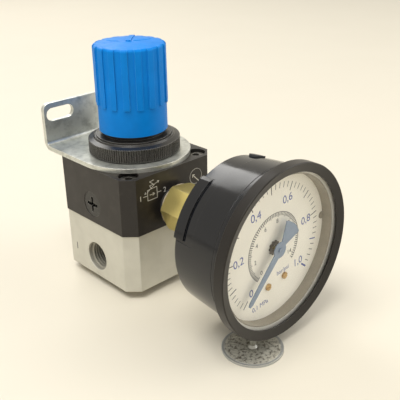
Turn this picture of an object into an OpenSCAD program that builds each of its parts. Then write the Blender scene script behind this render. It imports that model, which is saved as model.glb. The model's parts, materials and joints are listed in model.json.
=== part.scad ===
// Compressed-air pressure regulator: two-part body, adjusting knob, knurled panel nut,
// sheet-steel bracket and a 63 mm pressure gauge on a hexagonal back fitting.
// Millimetres, +Z up. The origin is the centre of the base plug's underside.
// Air enters at -X and leaves at +X, and the gauge looks along -Y.

/* [Body] */
// Width and depth of the lower body
body_w = 50; // [49:0.5:56]
// Corner chamfer of the body, measured along a side
body_chamfer = 4.94; // [3:0.1:5.4]
// Height of the lower body
lower_h = 27.3; // [26:0.1:34]
// Height of the upper body
upper_h = 25.9; // [25.4:0.1:32]
// How far the upper body overhangs the lower one
upper_over = 0.3; // [0:0.1:1]
// Thickness of the floor under the control chamber
floor_t = 4; // [3:0.1:5]
// Radius of the control chamber under the diaphragm
control_r = 15; // [14.8:0.1:16]
// Depth of the bonnet's seat in the upper body
pocket_h = 8.2; // [7.5:0.1:8.6]
// Width of the body's rim round the bonnet's flange
flange_wall = 5.3; // [4.3:0.1:6.3]

/* [Base plug] */
// Height of the base plug's foot under the body
foot_h = 4; // [3:0.5:8]
// Radius of the base plug's foot
foot_r = 20; // [16:0.5:22]
// How far the base plug reaches into the body
plug_in = 3.5; // [3:0.1:5]
// Radius of the valve chamber
valve_r = 9; // [8.5:0.1:9.4]
// Radius of the section of the base plug's seal ring
plug_seal_r = 0.7; // [0.5:0.05:0.9]

/* [Air ports] */
// Thread radius of the air ports and of the gauge port, G1/4
port_r = 6.58; // [5.5:0.01:6.8]
// Chamfer at the mouth of each port
port_chamfer = 0.32; // [0.2:0.02:0.6]
// Depth of the inlet and outlet threads
port_depth = 12; // [9:0.5:12.5]
// Height of the inlet and outlet above the lower body's underside
port_up = 9.9; // [9:0.1:11]
// Height of the gauge port above the lower body
gauge_up = 9.1; // [8.8:0.1:9.6]
// Radius of the drilled passages between the chambers
passage_r = 2; // [1.2:0.1:2.4]
// Radius of the throat round the valve stem
throat_r = 5; // [4:0.1:5.6]

/* [Side plug] */
// Height of the side plug above the lower body
side_up = 8.6; // [8:0.1:10]
// Radius of the side plug's head
side_head_r = 5.74; // [5.2:0.01:6.4]
// Thickness of the side plug's head
side_head_t = 2; // [1.5:0.1:3]
// Thread radius of the side plug
side_thread_r = 4.8; // [4:0.1:5]

/* [Body screws] */
// Distance of each screw from the body's sides
screw_edge = 6.1; // [5.9:0.1:6.5]
// Shank radius of the screws, M4
screw_r = 2; // [1.5:0.1:2.2]
// Head radius of the screws
screw_head_r = 3.5; // [3:0.1:3.8]
// Head height of the screws
screw_head_h = 4; // [3:0.1:5]
// How far the heads lie under the top face
screw_sink = 1.2; // [0.5:0.1:2]
// Free ring round each head
screw_room = 0.75; // [0.3:0.05:0.8]
// How deep the screws reach into the lower body
screw_in = 14; // [10:0.5:18]
// Width across flats of the screws' hexagon socket
socket_af = 3; // [2:0.1:3.5]

/* [Valve] */
// Height of the valve seat above the lower body's underside
seat_up = 13; // [12.8:0.1:14]
// Thickness of the valve seat
seat_t = 3; // [2.5:0.1:4]
// Outer radius of the valve seat
seat_r = 6.5; // [6.2:0.1:6.8]
// Radius of the opening in the valve seat
orifice_r = 3.2; // [2.6:0.1:4]
// Radius of the poppet
poppet_r = 6; // [5.4:0.1:6.4]
// Thickness of the poppet's disc
poppet_t = 3.9; // [3:0.1:4]
// Radius of the poppet's guide tail
tail_r = 2.45; // [1.8:0.05:2.8]
// Thickness of the poppet's seal
poppet_seal_t = 1.5; // [1:0.1:2]
// Radius of the valve stem
stem_r = 1.6; // [1.2:0.1:2]
// Stroke of the valve
valve_stroke = 0.8; // [0.4:0.1:1]
// Mean radius of the valve spring
valve_coil_r = 4.3; // [4.2:0.1:5]
// Wire radius of the valve spring
valve_wire_r = 0.35; // [0.25:0.01:0.4]
// Turns of the valve spring
valve_turns = 3; // [2:1:3]

/* [Diaphragm] */
// Thickness of the diaphragm
film_t = 0.8; // [0.5:0.1:1.2]
// Radius of the clamping plates
plate_r = 9.5; // [8:0.1:9.6]
// Thickness of the clamping plates
plate_t = 1.8; // [1.2:0.1:2.2]
// Radius of the roll in the diaphragm
roll_r = 2.3; // [1.6:0.1:2.4]
// Radius of the collar that centres the main spring
centring_r = 6; // [5:0.1:6.4]
// Height of the collar that centres the main spring
centring_h = 2; // [1:0.1:3]

/* [Bonnet] */
// Thread radius of the bonnet
thread_r = 16.7; // [15.5:0.1:17]
// Height of the threaded ring above the body
thread_rise = 10.26; // [10.26:0.1:13]
// Radius of the neck under the knob
neck_r = 13.2; // [12.9:0.1:13.6]
// Height of the bonnet's head above the body
bonnet_rise = 28.8; // [28.6:0.1:31]
// Radius of the spring's bore in the bonnet
spring_bore_r = 11.2; // [10.6:0.1:11.4]
// Thickness of the bonnet's head
head_t = 4; // [3:0.1:4.2]
// Width of the two keyways in the bore
key_w = 3; // [2:0.1:4]
// Depth of the keyways
key_depth = 1; // [0.6:0.1:1.2]

/* [Main spring] */
// Mean radius of the main spring
coil_r = 8.2; // [7.8:0.1:8.6]
// Wire radius of the main spring
wire_r = 1; // [0.6:0.05:1.1]
// Turns of the main spring
coil_turns = 6; // [4:1:7]
// Thickness of the spring plate on the spindle
nut_plate_t = 4; // [3:0.1:4.5]
// Travel of the spring plate
plate_travel = 5; // [2:0.5:5]

/* [Spindle] */
// Thread radius of the spindle
spindle_r = 4; // [3.2:0.1:4.4]
// Radius of the spindle's collar
collar_r = 7; // [6:0.1:8]
// Thickness of the spindle's collar
collar_t = 1.9; // [1.5:0.1:2.2]
// Thickness of the thrust washer
washer_t = 0.6; // [0.4:0.05:0.8]
// Width across flats of the spindle's hexagon
drive_af = 6.6; // [5:0.1:7]
// Thickness of the spring clip on the spindle
clip_t = 0.8; // [0.5:0.1:1]
// Number of teeth on the lock ring
lock_teeth = 24; // [12:2:36]

/* [Knob] */
// Radius of the knob's skirt
knob_r = 15; // [14.8:0.05:16]
// How much slimmer the knob's radius is at its top edge
knob_draft = 0.1; // [0:0.05:0.5]
// Height of the knob's side
knob_h = 37; // [36:0.1:42]
// Gap between the threaded ring and the knob
knob_gap = 1.84; // [1:0.1:2.5]
// Number of grip ribs
rib_count = 17; // [8:1:24]
// Width of a grip rib
rib_w = 2.7; // [1.5:0.1:3]
// How far the ribs stand proud
rib_proud = 0.6; // [0.2:0.02:0.8]
// Rounding of the ribs' lower corners
rib_corner = 0.5; // [0.2:0.1:1]
// Height at which the ribs begin, above the skirt
rib_start = 11.8; // [4:0.2:20]
// Angle of the first rib round the knob
rib_turn = -115.6; // [-120:0.1:-100]
// Rounding of the knob's top edge
knob_round = 1.2; // [0.6:0.1:2]
// Rise of the domed top
dome_h = 1; // [0.2:0.1:1.5]
// Height of the raised bar on the knob's top
bar_h = 0.45; // [0.2:0.05:0.8]
// Width of the raised bar
bar_w = 2.2; // [1.5:0.1:3]
// Angle of the raised bar round the knob
bar_turn = 45.5; // [0:0.5:90]
// Thickness of the knob's top
knob_top_t = 5; // [3:0.1:6]
// How far the knob lifts to unlock, which is the height of the lock's teeth
knob_lift = 2; // [1.4:0.1:2.2]

/* [Bracket] */
// Thickness of the bracket's sheet
sheet_t = 2; // [1.5:0.1:2.5]
// How far the bracket stands out past each side of the body
bracket_side = 0.2; // [0:0.1:4]
// How far the bracket's round front edge lies behind the body's front
bracket_inset = 0.8; // [0:0.1:2]
// Distance from the body's back to the back of the upright
bracket_back = 8.2; // [6:0.1:14]
// Height of the upright above the body
bracket_rise = 21; // [20:0.1:30]
// Inner radius of the bend
bend_r = 2; // [1:0.1:3]
// Radius of the upright's top corners
corner_r = 3; // [1:0.5:4]
// Width of the fixing slots
slot_w = 6; // [4:0.1:7]
// Length of the fixing slots
slot_l = 14.2; // [8:0.1:14.6]
// Distance from each slot's end to the side of the upright
slot_edge = 1.3; // [1:0.1:3]
// Height of the slots above the body
slot_up = 15.7; // [14:0.1:16]

/* [Panel nut] */
// How far the panel nut's ridges stand past the bonnet's flange
nut_over = 0.23; // [-0.1:0.01:2.3]
// Height of the ridged band
nut_band = 6.1; // [5:0.1:6.4]
// Height of the whole nut
nut_h = 7.6; // [7.4:0.1:8]
// Radius of the nut's top collar
nut_lip_r = 17.9; // [17.9:0.1:18.6]
// Number of ridges round the nut
ridge_count = 120; // [60:2:140]
// Depth of the ridges
ridge_depth = 0.42; // [0.2:0.02:0.6]

/* [Gauge fitting] */
// Distance from the body's face to the back of the gauge case
gauge_reach = 33.7; // [28:0.1:45]
// Width across flats of the brass hexagon
hex_af = 19; // [17:0.1:21]
// Thickness of the rubber seal at the body
seal_ring_t = 2.6; // [1.5:0.1:3]
// Radius of the rubber seal
seal_ring_r = 8; // [7.4:0.1:9]
// Thickness of the washer between the seal and the hexagon
port_washer_t = 0.6; // [0.5:0.1:1.5]
// Radius of that washer
port_washer_r = 9.6; // [9:0.1:10.5]
// Length of the fitting's thread in the body
stem_in = 9.3; // [7:0.1:9.6]
// Radius of the air passage in the fitting
air_r = 1.5; // [0.8:0.1:1.8]
// Angle of the hexagon's first corner
hex_turn = 52; // [0:1:60]

/* [Gauge case] */
// Outer radius of the gauge case at its back
case_r = 30.8; // [30.4:0.1:32]
// How much the case's radius grows towards its front
case_flare = 2; // [0:0.1:2.5]
// Depth of the gauge case
case_depth = 25.3; // [24.9:0.1:30]
// Wall of the gauge case
case_t = 0.8; // [0.7:0.05:0.9]
// Rounding of the case's back edge
case_round = 1.6; // [1:0.1:2.5]
// Height of the two raised bands round the case's back
lug_proud = 0.7; // [0.3:0.1:1]
// Width of the raised bands, from the back of the case
lug_w = 5.2; // [4:0.1:6]
// Width of the flat strip in front of them
strip_w = 3.7; // [3:0.1:5]
// How far the bezel stands out round the case
bezel_over = 2.5; // [2.2:0.1:4]
// Depth of the bezel
bezel_depth = 4.85; // [4.8:0.05:6]
// How far the bezel's front slopes back to its opening
bezel_slope = 1.15; // [0:0.05:1.2]
// Width of the bezel's front ring
bezel_face_w = 3.8; // [3.6:0.05:5]
// Thickness of the lens
lens_t = 1.2; // [1:0.1:1.2]
// Radius of the vent plug's head
vent_r = 3.2; // [3:0.1:5]
// How far the vent plug stands proud of the case
vent_proud = 0.8; // [0.7:0.1:1.6]
// Distance of the vent plug from the back of the case
vent_at = 4.9; // [4.9:0.1:8]
// Angle of the vent plug round the case
vent_turn = 71.5; // [50:1:110]

/* [Dial] */
// Width of the ring round the dial
dial_rim = 1.8; // [1.6:0.1:2.6]
// Thickness of the dial
dial_t = 0.8; // [0.4:0.1:0.9]
// Distance from the bezel's front to the dial
dial_back = 7.15; // [6.8:0.05:7.6]
// Turn of the dial plate in the case, counter-clockwise
dial_turn = 7.3; // [-15:0.1:15]
// Turn of the pointer at rest, clockwise from straight up
zero_turn = 222.6; // [215:0.1:230]
// Height of the pointer over the dial
pointer_up = 2.8; // [1.6:0.1:3]
// Length of the pointer from its hub
pointer_l = 24.5; // [20:0.1:26]
// Radius of the pointer's fan-shaped tail
fan_r = 11.6; // [8:0.1:13]
// Angle of the pointer's tail
fan_angle = 52; // [30:1:60]
// Thickness of the pointer
pointer_t = 0.4; // [0.3:0.05:0.6]
// Radius of the pointer's hub
hub_r = 3.3; // [2.5:0.1:4]
// Distance of the dial screws from the centre
dial_screw_at = 16.5; // [16:0.1:17.5]
// Angle of each dial screw from straight down
dial_screw_turn = 17; // [14:1:20]
// Head radius of the dial screws
dial_screw_r = 1.4; // [1.2:0.1:1.8]

/* [Movement] */
// Mean radius of the curved pressure tube
tube_at = 21; // [20:0.1:22]
// Width of the curved tube along the gauge's axis
tube_w = 5; // [4:0.1:5.4]
// Thickness of the curved tube
tube_t = 1.8; // [1.4:0.1:2.4]
// Wall of the curved tube
tube_wall = 0.3; // [0.2:0.05:0.4]
// Distance between the sector's pivot and the pointer's axis
gear_gap = 10.5; // [10:0.1:11]
// Teeth of a whole sector wheel per tooth of the pinion
gear_ratio = 6; // [5:1:6]
// Length of the sector's tail
lever_l = 4; // [3.5:0.1:4.4]
// Swing of the sector over the scale
sector_swing = 44; // [30:1:45]
// Radius of the movement's arbors
arbor_r = 0.7; // [0.5:0.05:0.8]
// Thickness of the movement's plates
frame_t = 1.2; // [0.8:0.1:1.4]
// Distance between the movement's plates
frame_gap = 6.1; // [5.8:0.1:6.5]

/* [Prop] */
// Radius of the prop's foot
prop_r = 12.25; // [8:0.05:14]
// Thickness of the prop's foot
prop_t = 1; // [0.8:0.1:2]
// Radius of the prop's pin
prop_pin_r = 1.4; // [1:0.1:2]
// Place of the prop to the left of the gauge's axis
prop_left = 11.5; // [8:0.1:14]
// Distance of the prop from the back of the gauge case
prop_at = 23.5; // [20:0.1:23.6]

/* [Fits] */
// Clearance of fixed pieces in their seats
fit_gap = 0.05; // [0.02:0.01:0.08]
// Clearance of moving pieces on their shafts and faces
run_gap = 0.06; // [0.03:0.01:0.08]
// Free space between pieces that pass each other
free_gap = 0.3; // [0.2:0.05:0.35]

/* [Hidden] */
$fn = 96;
over = 1;
sliver = 0.01;
split_z = foot_h + lower_h;
top_z = split_z + upper_h;
port_z = foot_h + port_up;
gauge_z = split_z + gauge_up;
side_z = split_z + side_up;
floor_z = split_z + floor_t;
screw_seat_z = top_z - screw_sink - screw_head_h;
ledge_z = top_z - pocket_h;
film_z = ledge_z + film_t;
face_r = body_w / 2 + upper_over;
flange_r = face_r - flange_wall;
nut_r = flange_r + nut_over;
screw_at = face_r - screw_edge;
riser_at = body_w / 2 - port_depth - passage_r / 4;
groove_r = 17;
ring_r = 0.6;
seat_z = foot_h + seat_up;
poppet_top = seat_z - run_gap - poppet_seal_t;
poppet_z = poppet_top - poppet_t;
plug_top = foot_h + plug_in;
tail_in = 2;
tail_z = tail_in + valve_stroke + 1;
collar_top_z = film_z + plate_t;
stem_nut_z = collar_top_z + centring_h;
stem_nut_t = 1.2;
stem_hold = 2;
bonnet_z = top_z + bonnet_rise;
head_z = bonnet_z - head_t;
ring_z = top_z + thread_rise;
collar_z = head_z - washer_t - 2 * run_gap - collar_t;
plate_z = collar_z - free_gap - nut_plate_t;
spindle_z = plate_z - plate_travel - 2;
lock_t = knob_lift;
lock_z = bonnet_z + lock_t;
lock_r = neck_r - 0.6;
clip_z = lock_z + free_gap;
clip_r = 5.5;
clip_groove_r = spindle_r - 0.8;
drive_z = clip_z + clip_t + 0.6;
knob_z = ring_z + knob_gap;
knob_top_r = knob_r - knob_draft;
drive_h = knob_z + knob_h - knob_top_t - drive_z - free_gap;
cavity_r = neck_r + free_gap;
bracket_w = 2 * (face_r + bracket_side);
bracket_front = face_r - bracket_inset;
bracket_reach = face_r + bracket_back;
slot_pitch = bracket_w - 2 * slot_edge - slot_l;
plate_top_z = top_z + sheet_t;
nut_z = plate_top_z + run_gap;
nut_bore_r = thread_r + fit_gap;
hex_back = seal_ring_t + port_washer_t;
case_back = gauge_reach;
case_wall = case_back + case_round;
case_front = case_back + case_depth;
case_front_r = case_r + case_flare;
lug_front = case_back + lug_w;
lug_start = 118;
lug_span = 48;
relief_w = 0.8;
relief_depth = 0.35;
strip_back = lug_front + relief_w;
strip_front = strip_back + strip_w;
strip_depth = 0.25;
bezel_front = case_front + bezel_depth;
bezel_r = case_front_r + bezel_over;
window_r = bezel_r - bezel_face_w;
dial_face = bezel_front - dial_back;
ring_outer_r = case_side(dial_face) - case_t - fit_gap;
dial_r = ring_outer_r - dial_rim;
notch_r = 1.5;
notch_in = 0.8;
bezel_lip_t = 0.5;
bezel_rear_t = 0.7;
bezel_wall = 1.4;
case_flange_t = 0.4;
vent_neck_r = 0.7 * vent_r;
rim_r = bezel_r - bezel_wall;
rim_gap = 0.3;
ring_flange_t = 0.4;
ring_flare = 0.35;
lens_front = bezel_front - bezel_slope - bezel_lip_t - fit_gap;
lens_back = lens_front - lens_t;
ring_front = lens_back - fit_gap;
case_lip_z = case_front + bezel_rear_t + fit_gap;
socket_neck_r = 7;
block_back = case_back + case_t + fit_gap;
tube_w_gap = 1.5;
tube_mid = block_back + tube_w_gap + tube_w / 2;
block_front = tube_mid + tube_w / 2 + tube_w_gap;
block_half = 8.4;
block_low = tube_at + 3;
block_high = 8;
frame_front = block_front + frame_t + frame_gap;
link_back = block_front + frame_t + 0.9;
link_t = 0.6;
sector_back = link_back + link_t + 0.5;
sector_t = 1.8;
spring_back = sector_back + sector_t + free_gap;
pinion_teeth = 16;
pinion_r = gear_gap / (gear_ratio + 1);
sector_r = gear_gap - pinion_r;
sector_pivot = gear_gap * [cos(30), -sin(30)];
lever_pin = sector_pivot + lever_l * [cos(sector_swing / 2), -sin(sector_swing / 2)];
tip_angle = 17;
tip_pin = tube_at * [cos(tip_angle), sin(tip_angle)];
pin_r = 0.5;
link_play = 0.35;
restrictor_r = air_r + 0.7;
restrictor_l = 3;
restrictor_bore_r = 0.4;
dial_posts = [for (s = [-1, 1]) let (a = dial_turn + s * dial_screw_turn)
    dial_screw_at * [sin(a), -cos(a)]];
pillars = [[-6, 6], [-6, -7], [10.5, 6]];
pillar_r = 1.2;
pointer_back = dial_face + pointer_up;

// ---- shared shapes ----

module chamfered_block(w, h) {
    half = w / 2;
    cut = half - body_chamfer;
    linear_extrude(h)
        polygon([[half, -cut], [half, cut], [cut, half], [-cut, half],
            [-half, cut], [-half, -cut], [-cut, -half], [cut, -half]]);
}

module ring(r_out, r_in, h) {
    difference() {
        cylinder(r = r_out, h = h);
        translate([0, 0, -over]) cylinder(r = r_in, h = h + 2 * over);
    }
}

module hexagon(af, h) {
    cylinder(r = af / 2 / cos(30), h = h, $fn = 6);
}

// Outline of a wheel: corners are [share of a tooth's pitch, radius] and repeat for each tooth.
function toothed(count, corners) = [for (i = [0:count - 1], c = corners)
    c[1] * [cos((i + c[0]) * 360 / count), sin((i + c[0]) * 360 / count)]];

// Outer radius of the gauge case at a distance from the body's face.
function case_side(w) = case_r + case_flare * (w - case_wall) / (case_front - case_wall);

// Stands children on the gauge's axis: local x right, y up, z towards the reader of the dial.
module at_gauge() {
    translate([0, -face_r, gauge_z]) rotate([90, 0, 0]) children();
}

module at_port(side) {
    translate([side * body_w / 2, 0, port_z]) rotate([0, -side * 90, 0]) children();
}

module at_side() {
    translate([-face_r, 0, side_z]) rotate([0, 90, 0]) children();
}

module at_screws() {
    for (x = [-1, 1], y = [-1, 1])
        translate([x * screw_at, y * screw_at, 0]) children();
}

module threaded_mouth(depth) {
    translate([0, 0, -over]) cylinder(r = port_r, h = depth + over);
    translate([0, 0, -sliver]) cylinder(r1 = port_r + port_chamfer, r2 = port_r, h = port_chamfer);
}

// One unbroken helical wire between two heights.
module coil(mean_r, r, z0, z1, turns) {
    sides = 6;
    rings = turns * 12;
    rise = (z1 - z0 - 2 * r) / rings;
    points = [for (i = [0:rings], j = [0:sides - 1])
        let (a = i * 30, b = j * 360 / sides, d = mean_r + r * cos(b))
        [d * cos(a), d * sin(a), z0 + r + i * rise + r * sin(b)]];
    walls = [for (i = [0:rings - 1], j = [0:sides - 1])
        let (p = i * sides + j, q = i * sides + (j + 1) % sides)
        each [[p, q + sides, q], [p, p + sides, q + sides]]];
    ends = [for (j = [1:sides - 2])
        each [[0, j, j + 1], [rings * sides, rings * sides + j + 1, rings * sides + j]]];
    polyhedron(points, concat(walls, ends));
}

// ---- body ----

module lower_body() {
    color("gainsboro") difference() {
        translate([0, 0, foot_h]) chamfered_block(body_w, lower_h);
        translate([0, 0, foot_h - over]) cylinder(r = valve_r, h = seat_up + over);
        translate([0, 0, seat_z - over]) cylinder(r = seat_r, h = seat_t + over);
        translate([0, 0, seat_z]) cylinder(r = throat_r, h = lower_h);
        for (side = [-1, 1]) at_port(side) threaded_mouth(port_depth);
        at_port(-1) cylinder(r = passage_r * 1.4, h = body_w / 2 - valve_r / 2);
        translate([riser_at, 0, port_z]) cylinder(r = passage_r, h = lower_h);
        translate([0, 0, split_z - 2 * ring_r])
            ring(groove_r + ring_r, groove_r - ring_r, 2 * ring_r + over);
        at_screws() translate([0, 0, split_z - screw_in - 2])
            cylinder(r = screw_r + fit_gap, h = lower_h);
    }
}

module bottom_plug() {
    groove_w = 2.4 * plug_seal_r;
    color("black") difference() {
        union() {
            cylinder(r = foot_r, h = foot_h);
            cylinder(r = valve_r - fit_gap, h = plug_top);
        }
        translate([0, 0, foot_h + plug_in / 2 - groove_w / 2])
            ring(valve_r, valve_r - fit_gap - 2 * plug_seal_r, groove_w);
        translate([0, 0, tail_in]) cylinder(r = tail_r + run_gap, h = plug_top);
    }
}

module plug_seal() {
    color("dimgray") translate([0, 0, foot_h + plug_in / 2])
        rotate_extrude() translate([valve_r - fit_gap - plug_seal_r, 0]) circle(r = plug_seal_r - fit_gap);
}

module body_seal() {
    color("dimgray") translate([0, 0, split_z - ring_r])
        rotate_extrude() translate([groove_r, 0]) circle(r = ring_r - fit_gap);
}

module upper_body() {
    color("#2a2624") difference() {
        translate([0, 0, split_z]) chamfered_block(2 * face_r, upper_h);
        translate([0, 0, floor_z]) cylinder(r = control_r, h = upper_h);
        translate([0, 0, ledge_z]) cylinder(r = flange_r + fit_gap, h = upper_h);
        translate([0, 0, split_z - over]) cylinder(r = throat_r, h = upper_h);
        translate([riser_at, 0, split_z - over]) cylinder(r = passage_r, h = floor_t + 2 * over);
        at_gauge() mirror([0, 0, 1]) threaded_mouth(face_r - control_r + 2);
        at_side() translate([0, 0, -over]) {
            cylinder(r = side_thread_r + fit_gap, h = face_r - control_r + 4);
            cylinder(r = side_head_r + fit_gap, h = side_head_t + over);
        }
        at_screws() translate([0, 0, split_z - over]) cylinder(r = screw_r + 2 * fit_gap, h = upper_h);
        at_screws() translate([0, 0, screw_seat_z]) cylinder(r = screw_head_r + screw_room, h = upper_h);
    }
}

module cap_screws() {
    tip_z = split_z - screw_in;
    color("silver") at_screws() difference() {
        union() {
            translate([0, 0, tip_z]) cylinder(r = screw_r, h = screw_seat_z - tip_z + over);
            translate([0, 0, screw_seat_z]) cylinder(r = screw_head_r, h = screw_head_h);
        }
        translate([0, 0, screw_seat_z + screw_head_h / 2]) hexagon(socket_af, screw_head_h);
    }
}

module side_plug() {
    sink = 0.2;
    cross_w = 1.5;
    cross_l = 7.1;
    cross_depth = 2.2;
    color("#3a3632") at_side() difference() {
        union() {
            translate([0, 0, sink]) cylinder(r = side_head_r, h = side_head_t - sink);
            translate([0, 0, sink]) cylinder(r = side_thread_r, h = face_r - control_r - sink);
        }
        for (turn = [0, 90]) rotate([0, 0, turn])
            translate([-cross_l / 2, -cross_w / 2, -over]) cube([cross_l, cross_w, over + cross_depth]);
    }
}

// ---- valve and diaphragm ----

module valve_seat() {
    color("goldenrod") translate([0, 0, seat_z]) ring(seat_r - fit_gap, orifice_r, seat_t - fit_gap);
}

module poppet() {
    color("goldenrod") difference() {
        union() {
            translate([0, 0, tail_z]) cylinder(r = tail_r, h = poppet_top - tail_z);
            translate([0, 0, poppet_z]) cylinder(r = poppet_r, h = poppet_t);
        }
        translate([0, 0, poppet_top - stem_hold]) cylinder(r = stem_r + fit_gap, h = stem_hold + over);
    }
}

module poppet_seal() {
    color("dimgray") translate([0, 0, poppet_top]) ring(poppet_r - 0.2, stem_r + fit_gap, poppet_seal_t);
}

// Stem with its nut at the top, which clamps the plates on the diaphragm.
module valve_stem() {
    stem_z = poppet_top - stem_hold;
    stem_proud = 0.4;
    color("silver") {
        translate([0, 0, stem_z]) cylinder(r = stem_r, h = stem_nut_z + stem_nut_t + stem_proud - stem_z);
        translate([0, 0, stem_nut_z]) cylinder(r = stem_r + 1.2, h = stem_nut_t);
    }
}

module valve_spring() {
    color("silver") coil(valve_coil_r, valve_wire_r, plug_top, poppet_z, valve_turns);
}

module diaphragm_plate() {
    color("silver") translate([0, 0, ledge_z - plate_t]) ring(plate_r, stem_r + fit_gap, plate_t);
}

// Flat rubber sheet with one round roll outside the clamping plates.
module diaphragm() {
    roll_at = (plate_r + control_r) / 2;
    color("saddlebrown") translate([0, 0, ledge_z]) rotate_extrude() difference() {
        union() {
            translate([stem_r + fit_gap, 0]) square([flange_r - stem_r - fit_gap, film_t]);
            intersection() {
                translate([roll_at, 0]) circle(r = roll_r);
                square([flange_r, roll_r]);
            }
        }
        translate([roll_at, 0]) circle(r = roll_r - film_t);
    }
}

module spring_seat() {
    color("silver") difference() {
        union() {
            translate([0, 0, film_z]) cylinder(r = plate_r, h = plate_t);
            translate([0, 0, collar_top_z]) cylinder(r = centring_r, h = centring_h);
        }
        translate([0, 0, film_z - over])
            cylinder(r = stem_r + fit_gap, h = plate_t + centring_h + 2 * over);
    }
}

// ---- spring, spindle and bonnet ----

module main_spring() {
    color("silver") coil(coil_r, wire_r, collar_top_z, plate_z, coil_turns);
}

module key_bars(half_w, reach, z, h) {
    translate([-reach, -half_w, z]) cube([2 * reach, 2 * half_w, h]);
}

module spring_plate() {
    lug_r = spring_bore_r + key_depth - free_gap;
    color("goldenrod") difference() {
        union() {
            translate([0, 0, plate_z]) cylinder(r = spring_bore_r - free_gap, h = nut_plate_t);
            key_bars(key_w / 2 - free_gap / 2, lug_r, plate_z, nut_plate_t);
        }
        translate([0, 0, plate_z - over]) cylinder(r = spindle_r + run_gap, h = nut_plate_t + 2 * over);
    }
}

module bonnet() {
    key_z = plate_z - plate_travel - over;
    color("#211f1e") difference() {
        union() {
            translate([0, 0, film_z]) cylinder(r = flange_r, h = top_z - film_z);
            translate([0, 0, film_z]) cylinder(r = thread_r, h = ring_z - film_z);
            translate([0, 0, film_z]) cylinder(r = neck_r, h = bonnet_z - film_z);
        }
        translate([0, 0, film_z - over]) cylinder(r = control_r, h = roll_r + over);
        translate([0, 0, film_z]) cylinder(r = spring_bore_r, h = head_z - film_z);
        translate([0, 0, head_z - over]) cylinder(r = spindle_r + run_gap, h = head_t + 2 * over);
        key_bars(key_w / 2, spring_bore_r + key_depth, key_z, head_z - key_z);
    }
}

module thrust_washer() {
    color("white") translate([0, 0, head_z - washer_t - fit_gap])
        ring(collar_r, spindle_r + run_gap, washer_t);
}

module toothed_disc(r_root, r_tip, h) {
    linear_extrude(h)
        polygon(toothed(lock_teeth, [[0, r_root], [0.2, r_tip], [0.5, r_tip], [0.7, r_root]]));
}

module lock_ring() {
    color("white") difference() {
        translate([0, 0, bonnet_z]) toothed_disc(lock_r - 0.6, lock_r, lock_t);
        translate([0, 0, bonnet_z - over]) cylinder(r = clip_r + free_gap, h = lock_t + 2 * over);
    }
}

module spindle() {
    groove_t = clip_t + 2 * fit_gap;
    color("silver") difference() {
        union() {
            translate([0, 0, spindle_z]) cylinder(r = spindle_r, h = drive_z - spindle_z);
            translate([0, 0, collar_z]) cylinder(r = collar_r, h = collar_t);
            translate([0, 0, drive_z]) hexagon(drive_af, drive_h);
        }
        translate([0, 0, clip_z - fit_gap]) ring(spindle_r + over, clip_groove_r, groove_t);
    }
}

module spindle_clip() {
    color("#454545") translate([0, 0, clip_z]) difference() {
        ring(clip_r, clip_groove_r + fit_gap, clip_t);
        translate([0, -2, -over]) cube([2 * clip_r, 4, clip_t + 2 * over]);
    }
}

// Side outline of the knob: a slight taper, a rounded top edge and a shallow dome.
module knob_outline(extra, inner) {
    edge_r = knob_top_r + extra - knob_round;
    edge = [for (a = [0:15:90]) [edge_r + knob_round * cos(a), knob_h - knob_round + knob_round * sin(a)]];
    dome = [for (s = [0.75, 0.5, 0.25]) [edge_r * s, knob_h + dome_h * (1 - s * s)]];
    top = inner > 0 ? [[inner, knob_h]] : concat(dome, [[0, knob_h + dome_h]]);
    polygon(concat([[inner, 0], [knob_r + extra, 0]], edge, top));
}

module rib_bar() {
    flat_w = rib_w - 2 * rib_corner;
    rotate([90, 0, 90]) linear_extrude(2 * knob_r) {
        translate([-rib_w / 2, rib_start + rib_corner]) square([rib_w, knob_h]);
        translate([-flat_w / 2, rib_start]) square([flat_w, knob_h]);
        for (side = [-1, 1]) translate([side * flat_w / 2, rib_start + rib_corner]) circle(r = rib_corner);
    }
}

module knob_ribs() {
    for (i = [0:rib_count - 1]) rotate([0, 0, rib_turn + i * 360 / rib_count]) intersection() {
        rotate_extrude() knob_outline(rib_proud, cavity_r + fit_gap);
        rib_bar();
    }
}

// Raised bar that runs out over the top to the rim, drawn from its side.
module knob_bar() {
    inner_end = 2.5;
    inset = 0.2;
    foot_z = knob_h - knob_round;
    rim = knob_top_r - knob_round - inset;
    function dome_z(x) = knob_h + dome_h * (1 - pow(x / rim, 2)) + bar_h;
    crown = [for (x = [-inner_end, 0, rim / 4, rim / 2, 3 * rim / 4, rim]) [x, dome_z(x)]];
    round_end = [for (a = [75:-15:0]) [rim, foot_z + bar_h] + knob_round * [cos(a), sin(a)]];
    rotate([90, 0, bar_turn]) translate([0, 0, -bar_w / 2]) linear_extrude(bar_w)
        polygon(concat([[-inner_end, foot_z]], crown, round_end, [[rim + knob_round, foot_z]]));
}

module knob() {
    cavity_h = knob_h - knob_top_t;
    hub_z = drive_z - knob_z + 0.2;
    hub_wall = 3.2;
    mesh_gap = 0.25;
    color("#237dcd") translate([0, 0, knob_z]) {
        difference() {
            union() {
                rotate_extrude() knob_outline(0, 0);
                knob_ribs();
                knob_bar();
            }
            translate([0, 0, -over]) cylinder(r = cavity_r, h = cavity_h + over);
        }
        translate([0, 0, hub_z]) difference() {
            cylinder(r = drive_af / 2 / cos(30) + hub_wall, h = cavity_h - hub_z + 0.1);
            translate([0, 0, -over]) hexagon(drive_af + 2 * run_gap, cavity_h - hub_z + over);
        }
        translate([0, 0, bonnet_z - knob_z]) difference() {
            cylinder(r = cavity_r + 0.1, h = lock_t);
            translate([0, 0, -over]) toothed_disc(cavity_r - 0.02, lock_r + mesh_gap, lock_t + 2 * over);
        }
    }
}

// ---- bracket and panel nut ----

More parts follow.
